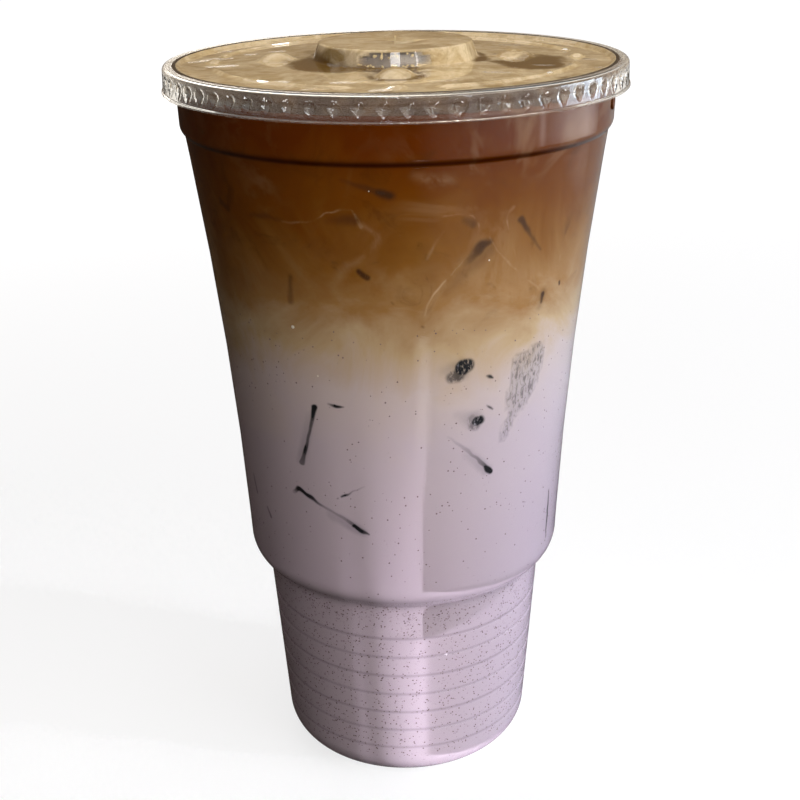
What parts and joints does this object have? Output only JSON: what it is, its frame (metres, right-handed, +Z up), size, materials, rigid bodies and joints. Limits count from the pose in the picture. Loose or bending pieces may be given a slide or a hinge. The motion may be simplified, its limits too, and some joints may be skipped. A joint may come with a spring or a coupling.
{
  "type": "iced latte",
  "caption": "Iced latte in a clear takeaway cup: milk below, coffee above, foam under a flat cross-slot lid, and a narrow ribbed foot that fits a cup holder.",
  "frame": {"origin": "middle of the ring that the cup stands on, at the table", "axes": "+Z up along the cup's axis, towards the lid; +X is the side with the pressed button"},
  "size_m": [0.1118, 0.1118, 0.1898],
  "materials": {
    "cup_plastic": "clear thin sheet, glossy",
    "lid_plastic": "clear pressed sheet, glossy",
    "milk": "opaque cold milk, faintly mauve, with fine dark specks",
    "coffee": "dark coffee that pales and clouds towards the milk",
    "foam": "tan coffee foam with fine bubbles",
    "ice": "wet ice, dark where it touches the wall"
  },
  "bodies": {
    "root": {"cup": "cup_plastic", "lid": "lid_plastic", "milk": "milk", "coffee": "coffee", "foam": "foam"}
  },
  "joints": []
}
